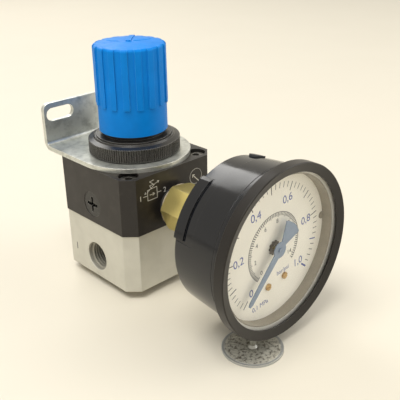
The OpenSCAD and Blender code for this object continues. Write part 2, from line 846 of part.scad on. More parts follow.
module bracket_profile() {
    outer = bend_r + sheet_t;
    back = bracket_reach;
    difference() {
        union() {
            translate([-bracket_w, 0]) square([bracket_w + back - outer, sheet_t]);
            translate([back - sheet_t, outer]) square([sheet_t, bracket_rise - outer]);
            translate([back - outer, outer]) intersection() {
                circle(r = outer);
                translate([0, -outer]) square(outer);
            }
        }
        translate([back - outer, outer]) circle(r = bend_r);
    }
}

module mounting_bracket() {
    half = bracket_w / 2;
    centre_y = half - bracket_front;
    corner_z = bracket_rise - corner_r;
    color("#a8aba6") translate([0, 0, top_z]) difference() {
        intersection() {
            rotate([90, 0, 90]) translate([0, 0, -half]) linear_extrude(bracket_w) bracket_profile();
            union() {
                translate([0, centre_y, -over]) cylinder(r = half, h = bracket_rise);
                translate([-half, centre_y, -over]) cube([bracket_w, bracket_w, corner_z + over]);
                translate([corner_r - half, centre_y, 0])
                    cube([bracket_w - 2 * corner_r, bracket_w, bracket_rise]);
                for (side = [-1, 1]) translate([side * (half - corner_r), bracket_w, corner_z])
                    rotate([90, 0, 0]) cylinder(r = corner_r, h = bracket_w);
            }
        }
        translate([0, 0, -over]) cylinder(r = thread_r + fit_gap, h = sheet_t + 2 * over);
        for (side = [-1, 1]) translate([side * slot_pitch / 2, bracket_reach + over, slot_up])
            rotate([90, 0, 0]) linear_extrude(sheet_t + 2 * over) {
                square([slot_l - slot_w, slot_w], center = true);
                for (end = [-1, 1]) translate([end * (slot_l - slot_w) / 2, 0]) circle(r = slot_w / 2);
            }
    }
}

module panel_nut() {
    chamfer = 0.7;
    rim = nut_r + sliver;
    bore = thread_r - over;
    root_r = nut_r - ridge_depth;
    cone_top = nut_band + (nut_r - nut_lip_r) / 3;
    color("#262322") translate([0, 0, nut_z]) intersection() {
        linear_extrude(nut_h) difference() {
            polygon(toothed(ridge_count, [[0, root_r], [0.3, nut_r], [0.6, nut_r], [0.9, root_r]]));
            circle(r = nut_bore_r);
        }
        rotate_extrude() polygon([[bore, 0], [nut_r - chamfer, 0], [rim, chamfer], [rim, nut_band],
            [nut_lip_r, cone_top], [nut_lip_r - 0.5, nut_h], [bore, nut_h]]);
    }
}

// ---- gauge fitting and case ----

module port_seal() {
    color("#222222") at_gauge() translate([0, 0, fit_gap])
        ring(seal_ring_r, port_r + fit_gap, seal_ring_t - fit_gap);
}

module port_washer() {
    color("ivory") at_gauge() translate([0, 0, seal_ring_t + fit_gap])
        ring(port_washer_r, port_r + fit_gap, port_washer_t - fit_gap);
}

module gauge_socket() {
    hex_l = case_back - hex_back;
    corner = hex_af / 2 / cos(30);
    chamfer = 0.6;
    block_size = [2 * block_half, block_low + block_high, block_front - block_back];
    color("#c8b96e") at_gauge() difference() {
        union() {
            translate([0, 0, -stem_in]) cylinder(r = port_r - fit_gap, h = stem_in + hex_back + over);
            intersection() {
                translate([0, 0, hex_back + fit_gap])
                    rotate([0, 0, hex_turn]) hexagon(hex_af, hex_l - 2 * fit_gap);
                translate([0, 0, hex_back])
                    cylinder(r1 = corner - chamfer, r2 = corner + hex_l, h = hex_l + chamfer);
            }
            translate([0, 0, case_back - over])
                cylinder(r = socket_neck_r, h = block_back - case_back + 2 * over);
            translate([-block_half, -block_low, block_back]) cube(block_size);
        }
        translate([0, 0, -stem_in - over]) cylinder(r = air_r, h = tube_mid + stem_in + over);
        translate([0, 0, -stem_in - over]) cylinder(r = restrictor_r, h = restrictor_l + over);
        translate([0, 0, tube_mid]) rotate([90, 0, 0]) cylinder(r = air_r * 0.8, h = tube_at);
        translate([0, -tube_at, tube_mid])
            rotate([0, -90, 0]) cylinder(r = tube_t / 2 - tube_wall, h = 2 * block_half);
    }
}

module restrictor() {
    color("goldenrod") at_gauge() translate([0, 0, -stem_in])
        ring(restrictor_r - fit_gap, restrictor_bore_r, restrictor_l - fit_gap);
}

// Solid shape of the case's outside, grown all round by the given amount.
module case_solid(extra) {
    side_r = case_r + extra;
    front_r = case_front_r + extra;
    rotate_extrude() {
        polygon([[0, case_back - extra], [side_r - case_round, case_back - extra], [side_r, case_wall],
            [front_r, case_front], [front_r, case_lip_z], [0, case_lip_z]]);
        translate([case_r - case_round, case_wall]) circle(r = case_round + extra);
    }
}

// A band of the case's flared side between two distances, from one height over it to another.
module case_band(start, span, from, to, low, high) {
    rotate([0, 0, start]) rotate_extrude(angle = span)
        polygon([[case_side(from) + low, from], [case_side(to) + low, to],
            [case_side(to) + high, to], [case_side(from) + high, from]]);
}

module case_lug(start) {
    edge = 0.4;
    lug_r = case_r + lug_proud;
    rotate([0, 0, start]) rotate_extrude(angle = lug_span)
        polygon([[case_r - case_round, case_back], [lug_r - edge, case_back], [lug_r, case_back + edge],
            [lug_r, lug_front], [case_r - case_round, lug_front]]);
}

// Flat ramp cut into the case's side, rising counter-clockwise from a radius at one angle.
module ramp_cut(angle, from_r, back, front) {
    ramp_tilt = 18;
    ramp_l = 6;
    rotate([0, 0, angle]) translate([from_r, 0, back]) rotate([0, 0, -ramp_tilt])
        cube([over * 3, ramp_l, front - back]);
}

module gauge_case() {
    strip_more = 2;
    strip_end = lug_start + lug_span;
    seam_w = 0.3;
    seam_depth = 0.12;
    seam_at = case_front - 3.7;
    bore_back_r = case_r - case_t;
    bore_front_r = case_front_r - case_t;
    color("#1c1c20") at_gauge() difference() {
        union() {
            difference() {
                case_solid(0);
                case_band(strip_end - 180 - strip_more, 180 + 2 * strip_more,
                    case_back - over, strip_front, -strip_depth, over);
            }
            for (turn = [0, 180]) difference() {
                case_lug(lug_start + turn);
                ramp_cut(lug_start + turn, case_r, case_back - over, lug_front + over);
            }
            translate([0, 0, case_lip_z]) cylinder(r = rim_r - 0.2, h = case_flange_t);
        }
        translate([0, 0, case_back + case_t]) cylinder(r = bore_back_r, h = case_wall - case_back);
        translate([0, 0, case_wall])
            cylinder(r1 = bore_back_r, r2 = bore_front_r, h = case_front - case_wall);
        translate([0, 0, case_front - sliver]) cylinder(r = bore_front_r, h = bezel_depth);
        translate([0, 0, case_back - over]) cylinder(r = socket_neck_r + fit_gap, h = case_t + 2 * over);
        for (turn = [0, 180])
            case_band(lug_start + turn, lug_span, lug_front, strip_back, -relief_depth, over);
        case_band(0, 360, seam_at, seam_at + seam_w, -seam_depth, over);
        rotate([0, 0, vent_turn]) translate([case_r - 3 * case_t, 0, case_back + vent_at])
            rotate([0, 90, 0]) cylinder(r = vent_neck_r + fit_gap, h = 6 * case_t);
    }
}

module vent_plug() {
    vent_w = case_back + vent_at;
    top = vent_proud - strip_depth;
    color("#232323") at_gauge() {
        intersection() {
            rotate([0, 0, vent_turn]) translate([0, 0, vent_w])
                rotate([0, 90, 0]) cylinder(r = vent_r, h = 2 * case_r);
            case_band(0, 360, vent_w - vent_r - over, vent_w + vent_r + over, fit_gap - strip_depth, top);
        }
        rotate([0, 0, vent_turn]) translate([case_r - 2 * case_t, 0, vent_w])
            rotate([0, 90, 0]) cylinder(r = vent_neck_r, h = 2 * case_t + top);
    }
}

module gauge_bezel() {
    edge = 0.35;
    inner = case_r - over;
    color("#2b2824") at_gauge() difference() {
        rotate_extrude() polygon([[inner, case_front], [bezel_r - edge, case_front],
            [bezel_r, case_front + edge], [bezel_r, bezel_front - edge],
            [bezel_r - edge, bezel_front], [window_r, bezel_front - bezel_slope],
            [inner, bezel_front - bezel_slope]]);
        translate([0, 0, case_front - over]) cylinder(r = case_front_r + fit_gap, h = 2 * over);
        translate([0, 0, case_front + bezel_rear_t])
            cylinder(r = rim_r, h = bezel_depth - bezel_slope - bezel_rear_t - bezel_lip_t);
        translate([0, 0, case_front]) cylinder(r = window_r, h = bezel_depth + over);
    }
}

module lens_gasket() {
    gasket_back = case_lip_z + case_flange_t;
    color("#15151a") at_gauge() translate([0, 0, gasket_back])
        ring(rim_r - rim_gap, case_front_r - case_t, ring_front - ring_flange_t - gasket_back);
}

module gauge_lens() {
    color("lightcyan", 0.3) at_gauge() translate([0, 0, lens_back])
        cylinder(r = rim_r - rim_gap, h = lens_t);
}

// Flared ring between the dial and the lens, hung by its flange, with a key in the dial's notch.
module dial_ring() {
    flange_back = ring_front - ring_flange_t;
    key_proud = 0.4;
    color("#96917f") at_gauge() {
        rotate_extrude() polygon([[dial_r, dial_face], [ring_outer_r, dial_face],
            [ring_outer_r, flange_back], [rim_r - rim_gap, flange_back], [rim_r - rim_gap, ring_front],
            [dial_r + ring_flare, ring_front]]);
        rotate([0, 0, dial_turn]) translate([dial_r - notch_in, 0, dial_face - dial_t])
            cylinder(r = notch_r - fit_gap, h = dial_t + key_proud);
    }
}

module gauge_dial() {
    hole_h = dial_t + 2 * over;
    color("#e8e4d7") at_gauge() difference() {
        translate([0, 0, dial_face - dial_t]) cylinder(r = dial_r, h = dial_t);
        translate([0, 0, dial_face - dial_t - over]) {
            cylinder(r = arbor_r + free_gap, h = hole_h);
            for (p = dial_posts) translate(p) cylinder(r = dial_screw_r / 2 + fit_gap, h = hole_h);
            rotate([0, 0, dial_turn]) translate([dial_r - notch_in, 0]) cylinder(r = notch_r, h = hole_h);
        }
    }
}

module dial_screws() {
    head_h = 0.7;
    hold = 1.5;
    slot_w = 0.4;
    color("#cda564") at_gauge() for (p = dial_posts) translate([p[0], p[1], dial_face]) difference() {
        union() {
            cylinder(r = dial_screw_r, h = head_h);
            translate([0, 0, -dial_t - hold]) cylinder(r = dial_screw_r / 2, h = dial_t + hold + sliver);
        }
        translate([-dial_screw_r - over, -slot_w / 2, head_h / 2])
            cube([2 * dial_screw_r + 2 * over, slot_w, over]);
    }
}

module dial_washer() {
    lobes = 10;
    lobe_r = 0.55;
    disc_r = 2.6;
    disc_t = 0.35;
    color("#5a4632") at_gauge() translate([0, 0, dial_face]) difference() {
        linear_extrude(disc_t) union() {
            circle(r = disc_r);
            for (i = [0:lobes - 1]) rotate(i * 360 / lobes)
                translate([disc_r - 0.1, 0]) circle(r = lobe_r, $fn = 24);
        }
        translate([0, 0, -over]) cylinder(r = arbor_r + free_gap, h = disc_t + 2 * over);
    }
}

module dial_posts() {
    post_r = 1.5;
    thread_l = 2;
    post_l = dial_face - dial_t - block_front;
    color("#c8b96e") at_gauge() for (p = dial_posts) translate([p[0], p[1], block_front]) difference() {
        cylinder(r = post_r, h = post_l);
        translate([0, 0, post_l - thread_l]) cylinder(r = dial_screw_r / 2 + fit_gap, h = thread_l + over);
    }
}

// ---- movement ----

module movement_plate() {
    linear_extrude(frame_t) difference() {
        hull() for (p = concat(pillars, [sector_pivot])) translate(p) circle(r = pillar_r + 1, $fn = 32);
        circle(r = arbor_r + run_gap);
        translate(sector_pivot) circle(r = arbor_r + run_gap);
    }
}

module movement_rear_plate() {
    color("#c8b96e") at_gauge() translate([0, 0, block_front]) movement_plate();
}

module movement_front_plate() {
    color("#c8b96e") at_gauge() translate([0, 0, frame_front]) movement_plate();
}

module movement_pillars() {
    color("#c8b96e") at_gauge() for (p = pillars) translate([p[0], p[1], block_front + frame_t])
        cylinder(r = pillar_r, h = frame_gap);
}

module tube_section(shrink) {
    flat = tube_w - tube_t;
    square([tube_t - 2 * shrink, flat], center = true);
    for (end = [-1, 1]) translate([0, end * flat / 2]) circle(r = tube_t / 2 - shrink);
}

module bourdon_tube() {
    tip_start = tip_angle + 4;
    root = asin((block_half + fit_gap) / (tube_at - tube_t));
    color("#b5895a") at_gauge() translate([0, 0, tube_mid]) difference() {
        rotate([0, 0, tip_start]) rotate_extrude(angle = 270 - root - tip_start)
            translate([tube_at, 0]) difference() {
                tube_section(0);
                tube_section(tube_wall);
            }
        translate([-block_half - fit_gap, -block_low - over, -tube_w])
            cube([2 * (block_half + fit_gap), block_low, 2 * tube_w]);
    }
}

module tube_tip() {
    color("#c8b96e") at_gauge() {
        translate([0, 0, tube_mid]) rotate([0, 0, tip_angle - 4]) rotate_extrude(angle = 7.8)
            translate([tube_at, 0]) square([tube_t + 1.2, tube_w + 1], center = true);
        translate([tip_pin[0], tip_pin[1], tube_mid])
            cylinder(r = pin_r, h = link_back + link_t + 0.3 - tube_mid);
    }
}

module drive_link() {
    eye = pin_r + link_play + 0.7;
    color("silver") at_gauge() translate([0, 0, link_back]) linear_extrude(link_t) difference() {
        hull() for (p = [lever_pin, tip_pin]) translate(p) circle(r = eye, $fn = 32);
        translate(lever_pin) circle(r = pin_r + run_gap);
        translate(tip_pin) circle(r = pin_r + link_play);
    }
}

function gear_corners(r) = [[0, r - 0.35], [0.25, r], [0.5, r], [0.75, r - 0.35]];

module sector_gear() {
    lead = 3;
    from = 150 - sector_swing - lead;
    to = 150 + lead;
    reach = 2 * sector_r;
    color("#c8b96e") at_gauge() {
        translate([0, 0, sector_back]) linear_extrude(sector_t) {
            translate(sector_pivot) intersection() {
                polygon(toothed(pinion_teeth * gear_ratio, gear_corners(sector_r - run_gap)));
                polygon([[0, 0], reach * [cos(from), sin(from)], reach * [cos(to), sin(to)]]);
            }
            translate(sector_pivot) circle(r = 2);
            hull() for (p = [sector_pivot, lever_pin]) translate(p) circle(r = 0.9, $fn = 32);
        }
        translate([sector_pivot[0], sector_pivot[1], block_front + 0.2])
            cylinder(r = arbor_r, h = frame_front + frame_t - block_front - 0.2);
        translate([lever_pin[0], lever_pin[1], link_back - 0.3])
            cylinder(r = pin_r, h = sector_back - link_back + 0.4);
    }
}

module pinion() {
    color("#c8b96e") at_gauge() {
        translate([0, 0, block_front + 0.2]) cylinder(r = arbor_r, h = pointer_back - block_front - 0.2);
        translate([0, 0, sector_back - 0.3]) linear_extrude(sector_t + 0.6)
            polygon(toothed(pinion_teeth, gear_corners(pinion_r - run_gap)));
    }
}

// Blade, hub and fan-shaped tail, turned to the zero of the scale.
module pointer() {
    base_w = 3.2;
    boss_h = 0.5;
    tip_w = 2.2;
    color("#8c9eb4") at_gauge() translate([0, 0, pointer_back]) rotate([0, 0, -zero_turn]) {
        linear_extrude(pointer_t) {
            polygon([[-base_w / 2, 0], [base_w / 2, 0], [tip_w / 2, pointer_l - 1.5], [0.5, pointer_l],
                [-0.5, pointer_l], [-tip_w / 2, pointer_l - 1.5]]);
            intersection() {
                circle(r = fan_r);
                polygon([[0, 0], 2 * fan_r * [sin(fan_angle / 2), -cos(fan_angle / 2)],
                    2 * fan_r * [-sin(fan_angle / 2), -cos(fan_angle / 2)]]);
            }
            circle(r = hub_r);
        }
        translate([0, 0, -boss_h]) ring(arbor_r + 0.8, arbor_r + fit_gap, boss_h);
        translate([0, 0, pointer_t]) cylinder(r = arbor_r + 0.3, h = boss_h);
    }
}

// Flat spiral of thin strip round the pointer's arbor.
module hairspring() {
    start_r = arbor_r + 0.9;
    end_r = pinion_r + 3.2;
    strip = 0.12;
    turns = 4;
    steps = 24 * turns;
    function spiral(r_add) = [for (i = [0:steps])
        (start_r + (end_r - start_r) * i / steps + r_add) * [cos(15 * i), sin(15 * i)]];
    inside = spiral(0);
    color("#8a6a3a") at_gauge() translate([0, 0, spring_back]) linear_extrude(0.5)
        polygon(concat(inside, [for (i = [steps:-1:0]) spiral(strip)[i]]));
}

// ---- prop under the gauge ----

module at_prop() {
    translate([-prop_left, -face_r - case_back - prop_at, 0]) children();
}

module support_disc() {
    color("#afaca8") at_prop() difference() {
        cylinder(r = prop_r, h = prop_t);
        translate([0, 0, prop_t - 0.2]) ring(prop_r - 0.9, prop_r - 1.2, over);
    }
}

module support_pin() {
    touch_r = case_side(case_back + prop_at);
    pin_h = gauge_z - sqrt(touch_r * touch_r - prop_left * prop_left);
    color("#9b9894") difference() {
        at_prop() {
            translate([0, 0, prop_t]) cylinder(r = prop_pin_r, h = pin_h + over);
            translate([0, 0, prop_t]) cylinder(r1 = prop_pin_r + 0.7, r2 = prop_pin_r, h = 1);
        }
        at_gauge() case_solid(fit_gap);
    }
}

lower_body();
bottom_plug();
plug_seal();
body_seal();
valve_seat();
poppet();
poppet_seal();
valve_stem();
valve_spring();
upper_body();
cap_screws();
side_plug();
diaphragm_plate();
diaphragm();
spring_seat();
main_spring();
spring_plate();
bonnet();
thrust_washer();
lock_ring();
spindle();
spindle_clip();
knob();
mounting_bracket();
panel_nut();
gauge_socket();
port_seal();
port_washer();
restrictor();
gauge_case();
vent_plug();
gauge_bezel();
gauge_lens();
lens_gasket();
dial_ring();
gauge_dial();
dial_screws();
dial_washer();
dial_posts();
movement_rear_plate();
movement_front_plate();
movement_pillars();
bourdon_tube();
tube_tip();
drive_link();
sector_gear();
pinion();
pointer();
hairspring();
support_disc();
support_pin();
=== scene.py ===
"""Looks of a compressed-air pressure regulator with its gauge, bracket and adjusting knob."""

import json
import math

import bmesh
import bpy
from mathutils import Matrix, Vector


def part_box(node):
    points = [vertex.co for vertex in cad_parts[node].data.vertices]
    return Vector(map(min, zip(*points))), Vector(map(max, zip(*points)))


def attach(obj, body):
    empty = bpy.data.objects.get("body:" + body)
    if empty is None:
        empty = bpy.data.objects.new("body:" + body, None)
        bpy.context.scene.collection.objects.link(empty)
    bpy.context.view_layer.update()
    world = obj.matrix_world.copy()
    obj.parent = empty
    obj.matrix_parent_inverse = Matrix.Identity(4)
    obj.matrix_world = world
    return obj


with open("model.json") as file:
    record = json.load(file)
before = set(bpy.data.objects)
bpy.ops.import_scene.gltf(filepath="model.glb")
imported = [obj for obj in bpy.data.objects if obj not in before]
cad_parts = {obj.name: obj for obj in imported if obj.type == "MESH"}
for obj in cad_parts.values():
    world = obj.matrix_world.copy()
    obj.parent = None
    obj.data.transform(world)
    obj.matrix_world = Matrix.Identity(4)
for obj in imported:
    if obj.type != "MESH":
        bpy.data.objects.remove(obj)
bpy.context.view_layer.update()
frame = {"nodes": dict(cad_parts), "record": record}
nodes = frame["nodes"]

MM = 0.001
PRINT = 0.02 * MM          # how far printed marks stand proud of what carries them
UPRIGHT = Matrix.Rotation(math.radians(90), 4, "X")  # stands a flat drawing up, to be read from -Y


# ---- places, read from the frame ----

def middle(node):
    low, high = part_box(node)
    return (low + high) / 2


GAUGE = middle("gauge_dial")
DISC = middle("support_disc")
DISC_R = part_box("support_disc")[1].x - DISC.x
DIAL_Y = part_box("gauge_dial")[0].y
KNOB_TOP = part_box("knob")[1].z
BODY_FACE_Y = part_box("upper_body")[0].y
BODY_LOW_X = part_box("lower_body")[0].x
BODY_HIGH_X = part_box("lower_body")[1].x
PORT_UP = 9.9 * MM         # height of the air ports above the lower body's underside
PORT_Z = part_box("lower_body")[0].z + PORT_UP


# ---- camera, floor and light ----

def add_camera():
    """The photo's camera, fitted to the object's outlines."""
    azimuth = math.radians(-43.552)
    elevation = math.radians(24.890)
    roll = math.radians(-0.876)
    back = Vector((math.sin(azimuth) * math.cos(elevation),
                   -math.cos(azimuth) * math.cos(elevation), math.sin(elevation)))
    level = Vector((math.cos(azimuth), math.sin(azimuth), 0))
    upright = back.cross(level)
    right = math.cos(roll) * level + math.sin(roll) * upright
    up = math.cos(roll) * upright - math.sin(roll) * level
    camera = bpy.data.objects.new("camera", bpy.data.cameras.new("camera"))
    camera.data.sensor_width = 36
    camera.data.lens = 60.95
    camera.data.clip_start = 0.01
    camera.matrix_world = Matrix((right, up, back)).transposed().to_4x4()
    camera.location = Vector((-175.40, -226.19, 165.28)) * MM
    bpy.context.scene.collection.objects.link(camera)
    bpy.context.scene.camera = camera


def add_softbox(name, at, size, watts):
    """Rectangular lamp, turned to the object. Places and sizes are in metres."""
    aim = Vector((0, -0.03, 0.05))
    light = bpy.data.lights.new(name, "AREA")
    light.shape = "RECTANGLE"
    light.size = size[0]
    light.size_y = size[1]
    light.energy = watts
    light.color = (1, 0.99, 0.97)
    lamp = bpy.data.objects.new(name, light)
    lamp.location = at
    lamp.rotation_euler = (aim - Vector(at)).to_track_quat("-Z", "Y").to_euler()
    bpy.context.scene.collection.objects.link(lamp)


def add_studio():
    """Three lamps and an even sky. The camera, gloss and glass see the backdrop instead of the sky."""
    add_softbox("key", at=(-0.4, -0.12, 1.0), size=(0.6, 0.5), watts=8.5)
    add_softbox("fill", at=(0.85, -0.7, 0.6), size=(0.8, 0.8), watts=5)
    add_softbox("rear", at=(0.3, 0.9, 0.7), size=(0.6, 0.5), watts=4)
    world = bpy.data.worlds.new("studio")
    world.use_nodes = True
    bpy.context.scene.world = world
    tree = world.node_tree
    sky = tree.nodes["Background"]
    sky.inputs["Color"].default_value = (0.98, 0.97, 0.94, 1)
    sky.inputs["Strength"].default_value = 0.6
    backdrop = tree.nodes.new("ShaderNodeBackground")
    backdrop.inputs["Color"].default_value = (0.86, 0.8, 0.68, 1)
    backdrop.inputs["Strength"].default_value = 1
    path = tree.nodes.new("ShaderNodeLightPath")
    seen = path.outputs["Is Camera Ray"]
    for kind in ("Is Glossy Ray", "Is Transmission Ray"):
        either = tree.nodes.new("ShaderNodeMath")
        either.operation = "MAXIMUM"
        tree.links.new(seen, either.inputs[0])
        tree.links.new(path.outputs[kind], either.inputs[1])
        seen = either.outputs[0]
    mix = tree.nodes.new("ShaderNodeMixShader")
    tree.links.new(seen, mix.inputs["Fac"])
    tree.links.new(sky.outputs["Background"], mix.inputs[1])
    tree.links.new(backdrop.outputs["Background"], mix.inputs[2])
    tree.links.new(mix.outputs["Shader"], tree.nodes["World Output"].inputs["Surface"])
    bpy.context.scene.view_settings.view_transform = "Standard"


def add_floor(material):
    half = 3                   # metres
    mesh = bpy.data.meshes.new("floor")
    corners = [(-half, -half, 0), (half, -half, 0), (half, half, 0), (-half, half, 0)]
    mesh.from_pydata(corners, [], [(0, 1, 2, 3)])
    mesh.materials.append(material)
    floor = bpy.data.objects.new("floor", mesh)
    bpy.context.scene.collection.objects.link(floor)


# ---- materials ----

# A Mix node's sockets for colours, which share their names with its other sockets.
MIX_FIRST = 6
MIX_SECOND = 7
MIX_RESULT = 2


class Finish:
    """A procedural material round one Principled shader. Patterns lie in the piece's own space."""

    def __init__(self, name, **sockets):
        self.material = bpy.data.materials.new(name)
        self.material.use_nodes = True
        self.tree = self.material.node_tree
        self.shader = self.tree.nodes["Principled BSDF"]
        for socket, value in sockets.items():
            self.feed(self.shader.inputs[socket.replace("_", " ")], value)
        self.place = self.add("ShaderNodeTexCoord").outputs["Object"]
        self.relief = None

    def feed(self, socket, value):
        """Joins a socket to another, or gives it a number, a vector or a colour of three numbers."""
        if isinstance(value, bpy.types.NodeSocket):
            self.tree.links.new(value, socket)
        elif socket.type == "RGBA":
            socket.default_value = (*value, 1)
        else:
            socket.default_value = value

    def add(self, kind, **inputs):
        node = self.tree.nodes.new(kind)
        for name, value in inputs.items():
            self.feed(node.inputs[name.replace("_", " ")], value)
        return node

    def vector_math(self, operation, result, *values):
        """The result, by its socket's name, of an operation on vectors."""
        node = self.tree.nodes.new("ShaderNodeVectorMath")
        node.operation = operation
        for socket, value in zip(node.inputs, values):
            self.feed(socket, value)
        return node.outputs[result]

    def noise(self, size, detail=3, stretch=(1, 1, 1), rough=0.5):
        """Cloudy pattern with spots about this many millimetres across."""
        place = self.add("ShaderNodeMapping", Vector=self.place, Scale=stretch).outputs["Vector"]
        node = self.add("ShaderNodeTexNoise", Vector=place, Scale=1 / (size * MM), Detail=detail,
                        Roughness=rough)
        return node.outputs["Fac"]

    def band(self, value, low, high, start=0.0, end=1.0):
        """Value between low and high, carried over to start and end."""
        node = self.add("ShaderNodeMapRange", Value=value, From_Min=low, From_Max=high,
                        To_Min=start, To_Max=end)
        return node.outputs["Result"]

    def patches(self, size, low, high, amount=1.0, detail=3, rough=0.5):
        """Share of a second colour: 0 where the noise is under low, the amount where it is over high."""
        return self.band(self.noise(size, detail, rough=rough), low, high, end=amount)

    def drift(self, size, start, end, detail=1, low=0.3):
        """Roughness that wanders from start, where the noise is low, to end over spots of this size."""
        high = 0.7
        return self.band(self.noise(size, detail), low, high, start, end)

    def from_axis(self, centre, across):
        """Distance from the line through the centre that runs along the axis left out of across."""
        offset = self.vector_math("SUBTRACT", "Vector", self.place, centre)
        flat = self.vector_math("MULTIPLY", "Vector", offset, across)
        return self.vector_math("LENGTH", "Value", flat)

    def blend(self, share, first, second):
        """The first colour where the share is 0, and the second where it is 1."""
        node = self.tree.nodes.new("ShaderNodeMix")
        node.data_type = "RGBA"
        self.feed(node.inputs["Factor"], share)
        self.feed(node.inputs[MIX_FIRST], first)
        self.feed(node.inputs[MIX_SECOND], second)
        return node.outputs[MIX_RESULT]

    def rounded(self, radius):
        """Direction of the surface with its sharp edges rounded by this many millimetres."""
        bevel = self.add("ShaderNodeBevel", Radius=radius * MM)
        bevel.samples = 4
        return bevel.outputs["Normal"]

    def edges(self, width, amount=1.0):
        """Share of wear and painted highlight: the amount along sharp edges, 0 on open faces."""
        on_face = 0.97
        on_edge = 0.75
        flat = self.add("ShaderNodeNewGeometry").outputs["Normal"]
        likeness = self.vector_math("DOT_PRODUCT", "Value", self.rounded(width), flat)
        return self.band(likeness, on_face, on_edge, end=amount)

    def soften(self, radius):
        """Rounds sharp edges in the shading. It comes before any bump."""
        self.relief = self.rounded(radius)

    def bump(self, height, depth, strength):
        """Relief of this many millimetres on top of what there is."""
        node = self.add("ShaderNodeBump", Height=height, Distance=depth * MM, Strength=strength)
        if self.relief is not None:
            self.tree.links.new(self.relief, node.inputs["Normal"])
        self.relief = node.outputs["Normal"]

    def done(self, color, roughness):
        self.feed(self.shader.inputs["Base Color"], color)
        self.feed(self.shader.inputs["Roughness"], roughness)
        if self.relief is not None:
            self.tree.links.new(self.relief, self.shader.inputs["Normal"])
        return self.material


def silver_aluminium():
    mouth_r = 6.75 * MM
    bore_r = 6.55 * MM
    f = Finish("silver_aluminium", Metallic=0.35)
    f.soften(0.35)
    f.bump(f.noise(0.35, detail=4), depth=0.02, strength=0.3)
    color = f.blend(f.patches(9, 0.35, 0.7), (0.61, 0.595, 0.52), (0.55, 0.535, 0.465))
    # Painted shade: the inside of the air ports is darkened where the bore lies in shade.
    bore_painted_shade = f.band(f.from_axis((0, 0, PORT_Z), (0, 1, 1)), mouth_r, bore_r)
    color = f.blend(bore_painted_shade, color, (0.3, 0.285, 0.24))
    return f.done(color, f.drift(4, 0.4, 0.52, detail=3))


def black_aluminium():
    f = Finish("black_aluminium", Metallic=0.1, Specular_IOR_Level=0.4)
    f.soften(0.3)
    f.bump(f.noise(0.3), depth=0.015, strength=0.25)
    dust = f.patches(3.5, 0.5, 0.85, amount=0.25, detail=5)
    color = f.blend(dust, (0.02, 0.017, 0.015), (0.08, 0.068, 0.056))
    # Lighter along sharp edges: partly wear, partly a painted highlight on the chamfers.
    color = f.blend(f.edges(0.25, amount=0.5), color, (0.14, 0.125, 0.11))
    return f.done(color, f.drift(9, 0.38, 0.46))


def black_plastic():
    f = Finish("black_plastic")
    f.soften(0.12)
    f.bump(f.noise(0.4), depth=0.012, strength=0.3)
    dust = f.patches(1.1, 0.55, 0.75, amount=0.5, detail=5)
    color = f.blend(dust, (0.009, 0.0085, 0.008), (0.055, 0.05, 0.043))
    # Painted highlight: lighter grey along sharp edges, such as the ridges and steps of the knurled nut.
    color = f.blend(f.edges(0.3, amount=0.9), color, (0.34, 0.33, 0.3))
    return f.done(color, f.drift(6, 0.28, 0.36))


def blue_plastic():
    f = Finish("blue_plastic", Specular_IOR_Level=0.12)
    f.soften(0.2)
    f.bump(f.noise(0.5, stretch=(1, 1, 0.15)), depth=0.008, strength=0.25)
    color = f.blend(f.patches(6, 0.35, 0.7), (0.001, 0.19, 0.61), (0.001, 0.21, 0.67))
    # Painted highlight: lighter blue along sharp edges, such as the rim of the knob's top.
    color = f.blend(f.edges(0.35, amount=0.7), color, (0.05, 0.42, 0.9))
    return f.done(color, f.drift(2.5, 0.4, 0.5, detail=3))


def white_plastic():
    f = Finish("white_plastic")
    f.bump(f.noise(0.4), depth=0.01, strength=0.3)
    return f.done(f.blend(f.noise(3), (0.82, 0.81, 0.77), (0.74, 0.73, 0.69)), 0.5)


def zinc_sheet():
    f = Finish("zinc_sheet", Metallic=0.7)
    f.soften(0.25)
    f.bump(f.noise(1.6, detail=2, stretch=(1, 1, 0.1)), depth=0.01, strength=0.15)
    blotch = f.patches(5, 0.45, 0.7, amount=0.8, detail=5, rough=0.65)
    color = f.blend(blotch, (0.62, 0.63, 0.58), (0.3, 0.31, 0.28))
    # Painted highlight: near-white along the sheet's edges.
    color = f.blend(f.edges(0.35), color, (0.88, 0.88, 0.83))
    return f.done(color, f.drift(9, 0.28, 0.38))


def turned_metal(name, color, dark, roughness):
    f = Finish(name, Metallic=1.0)
    f.soften(0.15)
    f.bump(f.noise(0.25), depth=0.012, strength=0.3)
    shade = f.blend(f.patches(2.2, 0.35, 0.7, detail=4), color, dark)
    return f.done(shade, f.drift(6, roughness - 0.03, roughness + 0.05))


def brass():
    f = Finish("brass", Metallic=0.85)
    f.soften(0.25)
    f.bump(f.noise(0.6, stretch=(1, 0.1, 1)), depth=0.01, strength=0.25)
    stain = f.patches(6, 0.55, 0.8, amount=0.45)
    color = f.blend(stain, (0.8, 0.67, 0.25), (0.46, 0.35, 0.1))
    # Painted highlight: pale along the fitting's sharp edges.
    color = f.blend(f.edges(0.3, amount=0.7), color, (0.95, 0.87, 0.6))
    return f.done(color, f.drift(8, 0.28, 0.34))


def rubber(name, color):
    f = Finish(name)
    f.bump(f.noise(0.3), depth=0.02, strength=0.5)
    pale = tuple(min(1, 1.8 * c + 0.01) for c in color)
    return f.done(f.blend(f.noise(1.5, detail=4), color, pale), 0.7)


def case_paint():
    f = Finish("case_paint", Specular_IOR_Level=0.45)
    f.soften(0.15)
    f.bump(f.noise(1.1), depth=0.01, strength=0.2)
    dust = f.patches(1.2, 0.66, 0.82, amount=0.2, detail=6, rough=0.7)
    color = f.blend(dust, (0.003, 0.004, 0.007), (0.07, 0.062, 0.052))
    # Painted highlight: lighter along sharp edges, such as the steps on the case.
    color = f.blend(f.edges(0.25, amount=0.5), color, (0.12, 0.115, 0.11))
    return f.done(color, f.drift(9, 0.12, 0.18, low=0.35))


